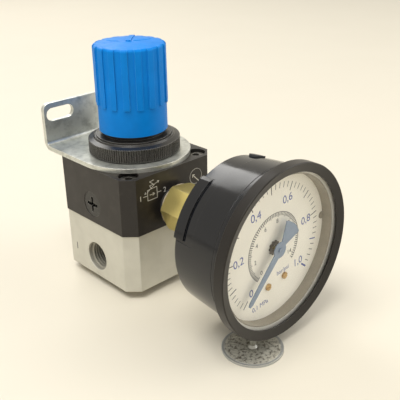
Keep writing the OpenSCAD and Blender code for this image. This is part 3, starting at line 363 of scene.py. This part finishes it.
def bezel_paint():
    f = Finish("bezel_paint", Specular_IOR_Level=0.35)
    f.soften(0.3)
    f.bump(f.noise(0.8), depth=0.01, strength=0.2)
    dust = f.patches(2.5, 0.6, 0.85, amount=0.15, detail=5)
    color = f.blend(dust, (0.012, 0.01, 0.0085), (0.06, 0.05, 0.04))
    color = f.blend(f.edges(0.2, amount=0.4), color, (0.13, 0.11, 0.09))
    return f.done(color, f.drift(9, 0.3, 0.38, low=0.35))


def dial_paint():
    f = Finish("dial_paint")
    color = f.blend(f.patches(12, 0.35, 0.7), (0.93, 0.9, 0.82), (0.89, 0.86, 0.78))
    return f.done(color, f.drift(2, 0.45, 0.55, detail=3))


def ring_paint():
    """Grey ring with a painted highlight round it, where the lens edge catches light."""
    lens_glint_from = 30.6 * MM
    lens_glint_full = 30.8 * MM
    f = Finish("ring_paint")
    f.bump(f.noise(0.5), depth=0.01, strength=0.3)
    color = f.blend(f.noise(3, detail=4), (0.3, 0.265, 0.205), (0.21, 0.185, 0.14))
    # Painted highlight: a thin pale band at the ring's outer edge, by the lens.
    lens_glint = f.band(f.from_axis(tuple(GAUGE), (1, 0, 1)), lens_glint_from, lens_glint_full)
    return f.done(f.blend(lens_glint, color, (0.7, 0.68, 0.62)), 0.35)


def pointer_paint():
    f = Finish("pointer_paint", Metallic=0.2)
    f.soften(0.08)
    return f.done(f.blend(f.noise(2, detail=4), (0.24, 0.31, 0.43), (0.19, 0.25, 0.35)), 0.35)


def dark_washer():
    f = Finish("dark_washer", Metallic=0.6)
    return f.done(f.blend(f.noise(0.8, detail=4), (0.12, 0.1, 0.08), (0.05, 0.042, 0.035)), 0.4)


def ink(name, color):
    f = Finish(name)
    return f.done(f.blend(f.noise(0.8), color, tuple(0.8 * c for c in color)), 0.45)


def worn_steel():
    """Pitted steel with a clean rim, for the disc under the gauge."""
    rim_from = DISC_R - 1.6 * MM
    rim_full = DISC_R - 0.8 * MM
    f = Finish("worn_steel", Metallic=0.65)
    f.soften(0.15)
    f.bump(f.noise(1.5, detail=4, rough=0.6), depth=0.1, strength=0.5)
    clean = f.blend(f.noise(3, detail=4), (0.82, 0.8, 0.7), (0.62, 0.6, 0.51))
    pits = f.patches(1.3, 0.47, 0.62, amount=0.9, detail=5, rough=0.7)
    color = f.blend(pits, clean, (0.12, 0.1, 0.065))
    rim = f.band(f.from_axis(tuple(DISC), (1, 1, 0)), rim_from, rim_full)
    color = f.blend(rim, color, (0.42, 0.43, 0.42))
    # Painted highlight: a bright line along the disc's edges.
    color = f.blend(f.edges(0.4, amount=0.8), color, (0.8, 0.78, 0.7))
    return f.done(color, f.drift(5, 0.38, 0.48))


def clear_glass():
    """Thin window: what is behind it shows straight through, with the surface's own gloss on top."""
    material = bpy.data.materials.new("clear_glass")
    material.use_nodes = True
    tree = material.node_tree
    tree.nodes.remove(tree.nodes["Principled BSDF"])
    through = tree.nodes.new("ShaderNodeBsdfTransparent")
    through.inputs["Color"].default_value = (0.985, 0.985, 0.98, 1)
    gloss = tree.nodes.new("ShaderNodeBsdfGlossy")
    gloss.inputs["Roughness"].default_value = 0.03
    fresnel = tree.nodes.new("ShaderNodeFresnel")
    fresnel.inputs["IOR"].default_value = 1.45
    geometry = tree.nodes.new("ShaderNodeNewGeometry")
    outside = tree.nodes.new("ShaderNodeMath")
    outside.operation = "SUBTRACT"
    outside.inputs[0].default_value = 1
    tree.links.new(geometry.outputs["Backfacing"], outside.inputs[1])
    share = tree.nodes.new("ShaderNodeMath")
    share.operation = "MULTIPLY"
    tree.links.new(fresnel.outputs["Fac"], share.inputs[0])
    tree.links.new(outside.outputs[0], share.inputs[1])
    mix = tree.nodes.new("ShaderNodeMixShader")
    tree.links.new(share.outputs[0], mix.inputs["Fac"])
    tree.links.new(through.outputs["BSDF"], mix.inputs[1])
    tree.links.new(gloss.outputs["BSDF"], mix.inputs[2])
    tree.links.new(mix.outputs["Shader"], tree.nodes["Material Output"].inputs["Surface"])
    return material


def pale_floor():
    f = Finish("pale_floor")
    return f.done(f.blend(f.noise(60), (0.715, 0.665, 0.555), (0.695, 0.645, 0.535)), 0.7)


FINISHES = {
    "silver_body": silver_aluminium(),
    "black_body": black_aluminium(),
    "black_plastic": black_plastic(),
    "blue_plastic": blue_plastic(),
    "white_plastic": white_plastic(),
    "zinc_sheet": zinc_sheet(),
    "steel": turned_metal("turned_steel", (0.6, 0.59, 0.56), (0.4, 0.39, 0.37), 0.3),
    "spring_steel": turned_metal("spring_steel", (0.42, 0.42, 0.42), (0.25, 0.25, 0.25), 0.35),
    "brass": brass(),
    "old_brass": turned_metal("old_brass", (0.62, 0.42, 0.18), (0.36, 0.23, 0.1), 0.32),
    "black_rubber": rubber("black_rubber", (0.016, 0.016, 0.017)),
    "diaphragm_rubber": rubber("diaphragm_rubber", (0.2, 0.08, 0.04)),
    "seal_white": rubber("tan_fibre", (0.3, 0.25, 0.17)),
    "case_paint": case_paint(),
    "bezel_paint": bezel_paint(),
    "dial_paint": dial_paint(),
    "ring_paint": ring_paint(),
    "pointer_paint": pointer_paint(),
    "lens": clear_glass(),
    "worn_steel": worn_steel(),
}
# Pieces that differ from the rest of their slot.
NODE_FINISHES = {
    "dial_washer": dark_washer(),
    "cap_screws": turned_metal("screw_steel", (0.26, 0.25, 0.23), (0.1, 0.095, 0.09), 0.35),
    "support_pin": turned_metal("pin_steel", (0.4, 0.41, 0.4), (0.2, 0.2, 0.19), 0.35),
}
BLUE_INK = ink("blue_ink", (0.05, 0.09, 0.38))
BLACK_INK = ink("black_ink", (0.03, 0.032, 0.05))
PALE_INK = ink("pale_ink", (0.72, 0.7, 0.64))


def dress_nodes():
    for part in frame["record"]["subparts"]:
        slots = nodes[part["node"]].data.materials
        slots.clear()
        slots.append(NODE_FINISHES.get(part["node"], FINISHES[part["material_slot"]]))


# ---- building pieces ----

def piece(name, bm, material, body="root"):
    """Makes a piece of the mesh, in this finish, that rides on a body."""
    mesh = bpy.data.meshes.new(name)
    bm.to_mesh(mesh)
    bm.free()
    mesh.materials.append(material)
    for face in mesh.polygons:
        face.use_smooth = False
    made = bpy.data.objects.new(name, mesh)
    bpy.context.scene.collection.objects.link(made)
    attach(made, body)


def plate(bm, outline, matrix):
    """A flat closed shape, given by 2-D points in metres, standing on the plane of the matrix."""
    low = [bm.verts.new(matrix @ Vector((x, y, -PRINT))) for x, y in outline]
    high = [bm.verts.new(matrix @ Vector((x, y, PRINT))) for x, y in outline]
    bm.faces.new(high)
    bm.faces.new(list(reversed(low)))
    for i in range(len(outline)):
        j = (i + 1) % len(outline)
        bm.faces.new((low[i], low[j], high[j], high[i]))


def stroke(bm, points, width, matrix):
    """A printed line of one width through 2-D points, as one plate for each straight stretch."""
    for start, end in zip(points, points[1:]):
        a = Vector(start)
        b = Vector(end)
        side = (b - a).normalized().orthogonal() * width / 2
        ahead = (b - a).normalized() * width / 2
        corners = [a - ahead - side, b + ahead - side, b + ahead + side, a - ahead + side]
        plate(bm, [tuple(c) for c in corners], matrix)


def skin(bm, rows):
    """Closes a ridge round rows of vertices, each row joined to the next."""
    for first, second in zip(rows, rows[1:]):
        for j in range(len(first)):
            k = (j + 1) % len(first)
            bm.faces.new((first[j], first[k], second[k], second[j]))


def arc(centre, radius, start, end, steps=24):
    angles = [math.radians(start + (end - start) * i / steps) for i in range(steps + 1)]
    return [(centre[0] + radius * math.cos(a), centre[1] + radius * math.sin(a)) for a in angles]


def words(bm, text, height, matrix, at=(0, 0)):
    """Raised lettering with capitals of this height, centred on a point of the matrix's plane."""
    capital_share = 0.70
    curve = bpy.data.curves.new("words", "FONT")
    curve.body = text
    curve.size = height / capital_share
    curve.align_x = "CENTER"
    curve.align_y = "CENTER"
    curve.extrude = PRINT
    holder = bpy.data.objects.new("words", curve)
    mesh = bpy.data.meshes.new_from_object(holder)
    mesh.transform(matrix @ Matrix.Translation((*at, 0)))
    bm.from_mesh(mesh)
    bpy.data.objects.remove(holder)
    bpy.data.meshes.remove(mesh)
    bpy.data.curves.remove(curve)


# ---- the dial's print ----

SCALE_TURN = 6             # degrees that the printed scale is turned, counter-clockwise
SCALE_START = 225          # degrees clockwise from straight up to the scale's zero
SCALE_SPAN = 270           # degrees from there to the scale's end
LONG_EVERY = 5             # every fifth tick is a long one
DIAL_PLANE = (Matrix.Translation((GAUGE.x, DIAL_Y, GAUGE.z)) @ UPRIGHT
              @ Matrix.Rotation(math.radians(SCALE_TURN), 4, "Z"))


def on_dial(radius, turn):
    """Point on the dial in metres, its turn counted clockwise from straight up."""
    a = math.radians(turn)
    return (radius * MM * math.sin(a), radius * MM * math.cos(a))


def scale_turn(value, full):
    """Angle of a value on a scale that ends at full."""
    return SCALE_START + SCALE_SPAN * value / full


def tick(bm, turn, inner, outer, width):
    half = width / 2
    stroke(bm, [on_dial(inner + half, turn), on_dial(outer - half, turn)], width * MM, DIAL_PLANE)


def add_main_scale():
    divisions = 50
    outer_r = 26.3
    short_r = 24.0
    long_r = 22.66
    short_w = 0.27
    long_w = 0.38
    marked_w = {45: 0.45, 50: 0.75}
    number_r = 19.6
    number_h = 3.3 * MM
    black = bmesh.new()
    blue = bmesh.new()
    for i in range(divisions + 1):
        is_long = i % LONG_EVERY == 0
        width = marked_w.get(i, long_w if is_long else short_w)
        tick(blue if i in marked_w else black, scale_turn(i, divisions),
             long_r if is_long else short_r, outer_r, width)
    piece("dial_ticks", black, BLACK_INK)
    piece("dial_marked_ticks", blue, BLUE_INK)
    numbers = bmesh.new()
    texts = ("0", "0,2", "0,4", "0,6", "0,8", "1,0")
    for i, text in enumerate(texts):
        words(numbers, text, number_h, DIAL_PLANE, on_dial(number_r, scale_turn(i, len(texts) - 1)))
    piece("dial_numbers", numbers, BLUE_INK)


def add_inner_scale():
    full = 14.5                # value at the end of the scale
    per_unit = 5
    ticks = 73
    ring_steps = 90
    ring_r = 14.4
    short_r = 12.9
    long_r = 12.5
    ring_w = 0.22 * MM
    tick_w = 0.36
    number_r = 10.8
    number_h = 1.8 * MM
    last_number = 14
    number_step = 2
    lines = bmesh.new()
    ring = [on_dial(ring_r, scale_turn(i, ring_steps)) for i in range(ring_steps + 1)]
    stroke(lines, ring, ring_w, DIAL_PLANE)
    for i in range(ticks):
        inner_r = long_r if i % LONG_EVERY == 0 else short_r
        tick(lines, scale_turn(i / per_unit, full), inner_r, ring_r, tick_w)
    piece("dial_inner_ticks", lines, BLACK_INK)
    numbers = bmesh.new()
    for value in range(0, last_number + 1, number_step):
        words(numbers, str(value), number_h, DIAL_PLANE, on_dial(number_r, scale_turn(value, full)))
    piece("dial_inner_numbers", numbers, BLACK_INK)


def add_unit_marks():
    for name, text, height, x, y in (("dial_unit", "0,1 MPa", 2.0, -9.4, -22.1),
                                     ("dial_unit_pair", "bar/psi", 1.9, 4.6, -12.9)):
        mark = bmesh.new()
        words(mark, text, height * MM, DIAL_PLANE, (x * MM, y * MM))
        piece(name, mark, BLUE_INK)


# ---- marks on the body ----

def add_flow_symbol():
    """Generic symbols of a pressure regulator, with the numbers of its ports, and of a gauge."""
    thin = 0.22 * MM
    thick = 1.6 * thin
    number_h = 2.3 * MM
    face = Matrix.Translation((0, BODY_FACE_Y, 0)) @ UPRIGHT
    lines = bmesh.new()

    def draw(points, width=thin):
        stroke(lines, [(x * MM, z * MM) for x, z in points], width, face)

    draw([(-14.4, 46.15), (-9.2, 46.2), (-9.3, 51.3), (-14.4, 50.9), (-14.4, 46.15)])
    draw([(-16.7, 48.5), (-14.4, 48.5)])
    draw([(-9.3, 48.5), (-7.1, 48.5)])
    draw([(-13.2, 48.5), (-10.6, 48.5)])
    draw([(-11.5, 49.1), (-10.6, 48.5), (-11.5, 47.9)])
    draw([(-15.9, 49.6), (-15.2, 49.6), (-15.55, 50.3), (-15.9, 49.6)])
    draw([(-11.9, 51.1), (-12.6, 51.6), (-13.1, 52.7), (-10.9, 52.7), (-13.1, 54.4), (-10.9, 54.7)])
    draw([(-14.6, 49.9), (-10.2, 52.8), (-8.0, 53.5)])
    draw([(-8.9, 53.75), (-8.0, 53.5), (-8.6, 52.8)])
    draw(arc((13.2, 49.2), 3.5, 0, 360, steps=40))
    draw([(15.1, 46.3), (11.3, 50.2)], thick)
    draw([(11.3, 49.1), (11.3, 50.2), (12.4, 50.0)], thick)
    words(lines, "1", number_h, face, (-18.2 * MM, 48.1 * MM))
    words(lines, "2", number_h, face, (-5.0 * MM, 48.4 * MM))
    piece("flow_symbol", lines, PALE_INK)


def add_port_numbers():
    aside = 15.5 * MM          # from the port's axis, to the left as one looks at the port
    up = 13.5 * MM             # above the ground
    height = 3.6 * MM
    for name, text, face_x, side in (("inlet_number", "1", BODY_LOW_X, -1),
                                     ("outlet_number", "2", BODY_HIGH_X, 1)):
        face = (Matrix.Translation((face_x, -side * aside, up))
                @ Matrix.Rotation(math.radians(side * 90), 4, "Z") @ UPRIGHT)
        mark = bmesh.new()
        words(mark, text, height, face)
        piece(name, mark, BLACK_INK)


def add_port_thread(name, mouth_x, inward):
    """Helical thread ridge in an air port, which fades out at both ends."""
    inch = 25.4
    threads_per_inch = 19
    pitch = inch / threads_per_inch * MM
    major = 6.62 * MM
    minor = 5.72 * MM
    root_half = 0.48           # half of the ridge's width at its root, as a share of the pitch
    crest_half = 0.08
    lead_in = 0.5 * MM
    turns = 8
    per_turn = 48
    fade_steps = per_turn / 2
    steps = turns * per_turn
    bm = bmesh.new()
    rows = []
    for i in range(steps + 1):
        a = 2 * math.pi * i / per_turn
        fade = min(1, i / fade_steps, (steps - i) / fade_steps)
        crest = major - (major - minor) * fade
        depth = lead_in + pitch * (0.5 + i / per_turn)
        row = []
        for radius, shift in ((major, -root_half), (crest, -crest_half),
                              (crest, crest_half), (major, root_half)):
            at = Vector((mouth_x + inward * (depth + shift * pitch), radius * math.cos(a),
                         PORT_Z + radius * math.sin(a)))
            row.append(bm.verts.new(at))
        rows.append(row)
    skin(bm, rows)
    bmesh.ops.recalc_face_normals(bm, faces=bm.faces)
    piece(name, bm, FINISHES["silver_body"])


# ---- marks on the knob ----

def add_knob_marks():
    """Two thin raised arcs on the knob's domed top, one for each way it turns."""
    bar_h = 0.45 * MM          # how far the bar on the knob stands above its dome
    dome_r = 13.7 * MM
    dome_h = 1.0 * MM
    width = 0.45 * MM
    flat_share = 0.6           # share of the width that is at full height
    height = 0.16 * MM
    sunk = -0.1 * MM
    arc_r = 10.8 * MM
    centre = Vector((5.5 * MM, 7.5 * MM))
    marks = bmesh.new()
    for start, end in ((174.5, 210.4), (243.4, 293.4)):
        rows = []
        for x, y in arc((0, 0), arc_r, start, end):
            out = Vector((x, y)).normalized()
            row = []
            for side, lift in ((-1, sunk), (-flat_share, height), (flat_share, height), (1, sunk)):
                at = centre + Vector((x, y)) + out * side * width / 2
                dome = KNOB_TOP - bar_h - dome_h * (at.length / dome_r) ** 2
                row.append(marks.verts.new((at.x, at.y, dome + lift)))
            rows.append(row)
        skin(marks, rows)
        marks.faces.new(rows[0])
        marks.faces.new(list(reversed(rows[-1])))
    bmesh.ops.recalc_face_normals(marks, faces=marks.faces)
    piece("knob_marks", marks, FINISHES["blue_plastic"], body="knob")


add_camera()
add_studio()
add_floor(pale_floor())
dress_nodes()
add_main_scale()
add_inner_scale()
add_unit_marks()
add_flow_symbol()
add_port_numbers()
add_port_thread("inlet_thread", BODY_LOW_X, 1)
add_port_thread("outlet_thread", BODY_HIGH_X, -1)
add_knob_marks()
